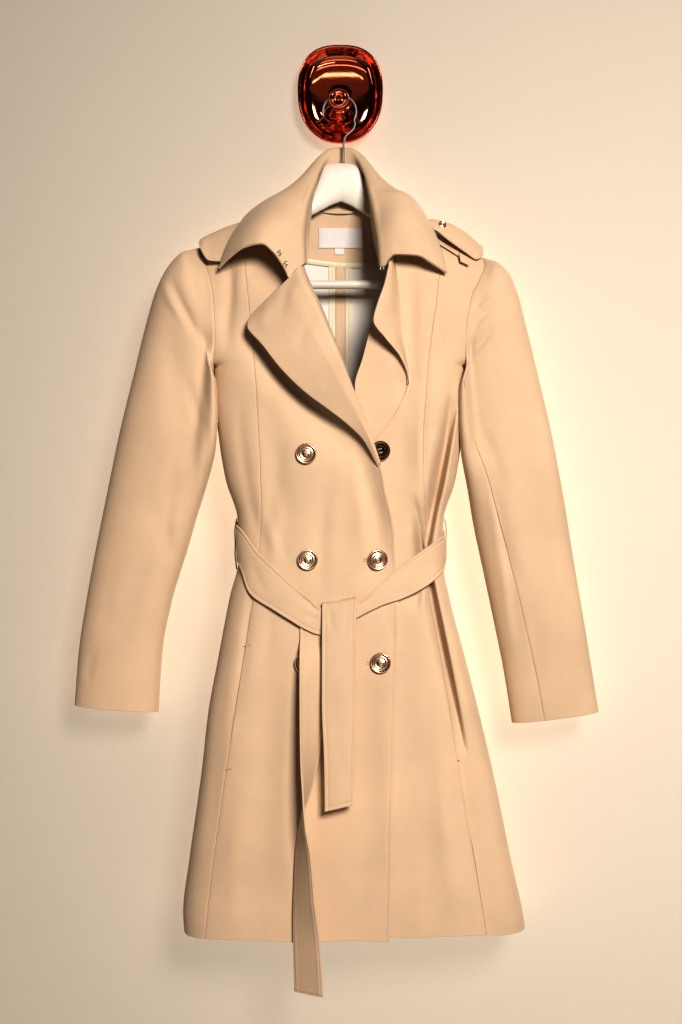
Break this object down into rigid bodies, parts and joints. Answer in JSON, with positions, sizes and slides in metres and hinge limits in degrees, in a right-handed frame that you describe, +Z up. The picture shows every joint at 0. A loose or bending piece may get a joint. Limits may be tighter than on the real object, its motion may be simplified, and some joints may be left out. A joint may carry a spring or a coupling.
{
  "type": "trench coat on wall hook",
  "caption": "Belted double-breasted knee-length coat with turned-out lapels, shoulder straps and a tied belt, hanging from a hanger on a round dished wall hook.",
  "frame": {"origin": "middle of the wall hook's flat back face, on the wall", "axes": "+Z up, +Y into the wall, +X to the right of one who faces the coat"},
  "size_m": [0.7133, 0.182, 1.2746],
  "materials": {
    "coat_cloth": "matt tan cotton twill",
    "label_cloth": "white woven tape, bare",
    "copper": "mirror-polished copper plating",
    "white_paint": "satin white paint",
    "wire": "bright drawn wire",
    "button_metal": "polished old-gold metal, rimmed"
  },
  "bodies": {
    "root": {"back_left": "coat_cloth", "back_right": "coat_cloth", "belt_back": "coat_cloth", "belt_front_left": "coat_cloth", "belt_front_right": "coat_cloth", "belt_loop_left": "coat_cloth", "belt_loop_right": "coat_cloth", "belt_tail_long": "coat_cloth", "belt_tail_short": "coat_cloth", "button_1": "button_metal", "button_2": "button_metal", "button_3": "button_metal", "button_4": "button_metal", "button_5": "button_metal", "button_6": "button_metal", "collar_fall": "coat_cloth", "collar_stand": "coat_cloth", "epaulette_button_left": "button_metal", "epaulette_left": "coat_cloth", "epaulette_loop_left": "coat_cloth", "epaulette_loop_right": "coat_cloth", "epaulette_right": "coat_cloth", "facing_back_neck": "coat_cloth", "facing_left": "coat_cloth", "front_left": "coat_cloth", "front_right": "coat_cloth", "hanger": "white_paint", "hanger_bar": "white_paint", "hanger_hook": "wire", "hanging_loop": "coat_cloth", "lapel_left": "coat_cloth", "lapel_right": "coat_cloth", "neck_label": "label_cloth", "neck_label_tab": "label_cloth", "side_front_left": "coat_cloth", "side_front_right": "coat_cloth", "sleeve_top_left": "coat_cloth", "sleeve_top_right": "coat_cloth", "sleeve_under_left": "coat_cloth", "sleeve_under_right": "coat_cloth", "wall_hook": "copper"}
  },
  "joints": []
}
